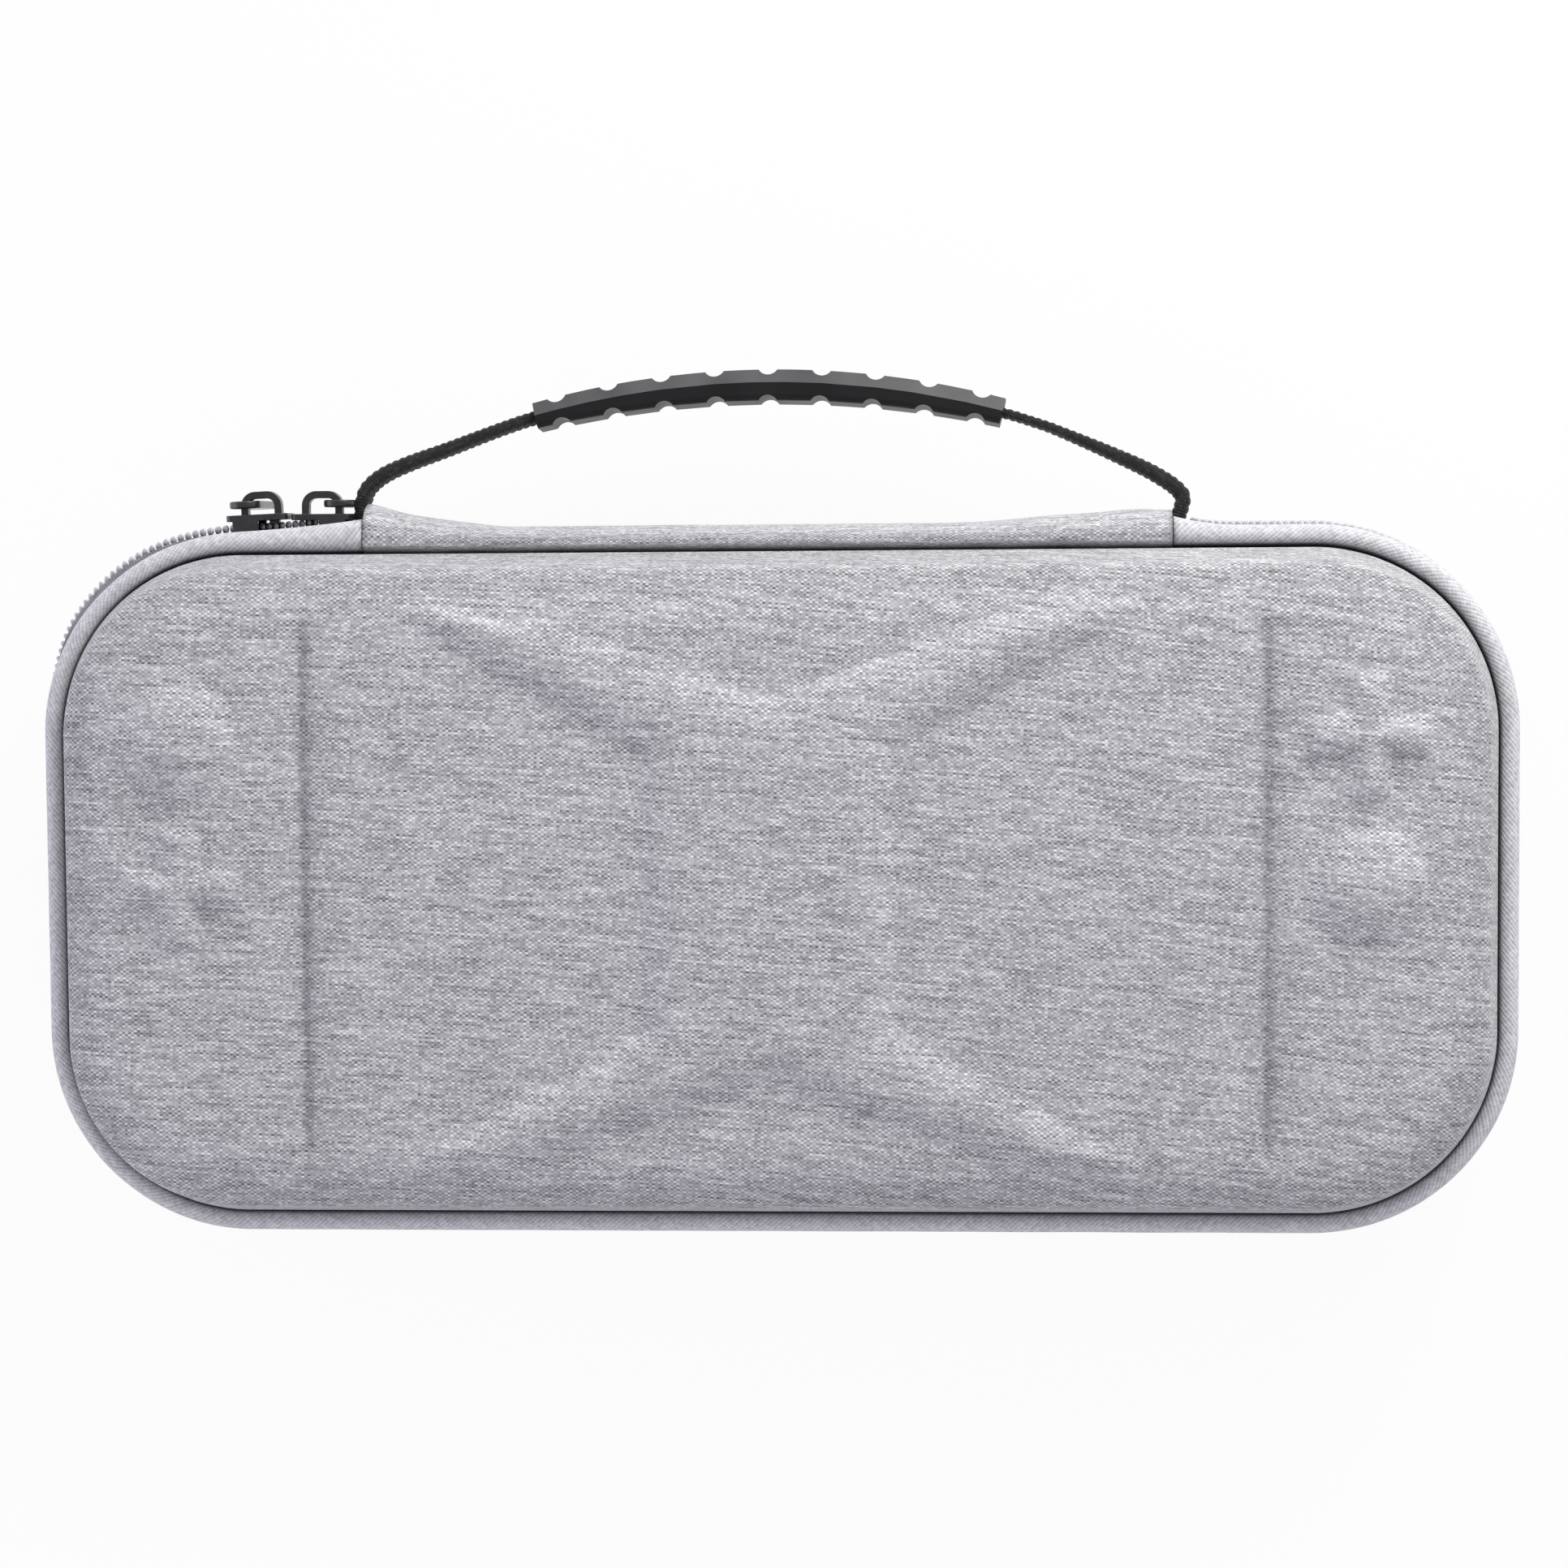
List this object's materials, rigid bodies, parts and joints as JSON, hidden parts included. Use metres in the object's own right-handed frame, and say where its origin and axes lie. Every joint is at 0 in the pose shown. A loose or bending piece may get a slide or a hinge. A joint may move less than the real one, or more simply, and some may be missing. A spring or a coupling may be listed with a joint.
{
  "type": "portable game console case",
  "caption": "Flat rounded zip case of heather grey moulded fabric with raised relief, fabric hinge, zip sliders with pulls and a notched carry handle, for a handheld game console.",
  "frame": {"origin": "centre of the flat back face that the case lies on", "axes": "+X along the case, +Y towards the handle and the fabric hinge, +Z out of the decorated front"},
  "size_m": [0.2614, 0.1534, 0.0486],
  "materials": {
    "heather_fabric": "heather grey woven face on moulded foam",
    "twill_binding": "bias-cut grey twill",
    "zip_tape": "woven zip tape",
    "zip_coil": "light grey nylon coil",
    "black_webbing": "ribbed black webbing",
    "grip_rubber": "semi-matte black rubber",
    "slider_metal": "black enamel",
    "lining": "brushed dark grey lining",
    "elastic": "black elastic tape",
    "net": "black net"
  },
  "bodies": {
    "base": {"back_shell": "heather_fabric", "back_binding": "twill_binding", "back_zip_tape": "zip_tape", "back_zip_coil": "zip_coil", "back_inner_trim": "lining", "hinge_panel": "heather_fabric", "strap_loop_half": "elastic", "strap_hook_half": "elastic", "card_flap": "lining", "card_pockets": "net"},
    "lid": {"front_shell": "heather_fabric", "front_binding": "twill_binding", "front_zip_tape": "zip_tape", "front_zip_coil": "zip_coil", "front_inner_trim": "lining", "mesh_pocket": "net", "mesh_hem": "elastic"},
    "handle": {"handle_webbing": "black_webbing", "handle_grip": "grip_rubber"},
    "left_slider": {"left_slider": "slider_metal"},
    "right_slider": {"right_slider": "slider_metal"},
    "left_pull": {"left_pull": "slider_metal"},
    "right_pull": {"right_pull": "slider_metal"}
  },
  "joints": [
    {"name": "lid_hinge", "type": "hinge", "parent": "base", "child": "lid", "pos_m": [0, 0.06425, 0.023], "axis": [-1, 0, 0], "range_deg": [0, 110], "deforming": ["front_zip_tape", "front_zip_coil", "hinge_panel"]},
    {"name": "handle_swing", "type": "hinge", "parent": "base", "child": "handle", "pos_m": [0, 0.06565, 0.0195], "axis": [-1, 0, 0], "range_deg": [-80, 50]},
    {"name": "left_slider_run", "type": "hinge", "parent": "base", "child": "left_slider", "pos_m": [-0.094, 0.02625, 0.023], "axis": [0, 0, 1], "range_deg": [0, 84], "deforming": ["back_zip_tape", "back_zip_coil"]},
    {"name": "right_slider_run", "type": "slide", "parent": "base", "child": "right_slider", "axis": [-1, 0, 0], "range_m": [0, 0.012]},
    {"name": "left_pull_swing", "type": "hinge", "parent": "left_slider", "child": "left_pull", "pos_m": [-0.09476, 0.06653, 0.023], "axis": [-0.0436, 0.999, 0], "range_deg": [-25, 60]},
    {"name": "right_pull_swing", "type": "hinge", "parent": "right_slider", "child": "right_pull", "pos_m": [-0.0778, 0.06665, 0.023], "axis": [0, 1, 0], "range_deg": [0, 40]}
  ],
  "couplings": [
    {"joint": "right_slider_run", "follows": "left_slider_run", "m_per_rad": 0.00818}
  ]
}
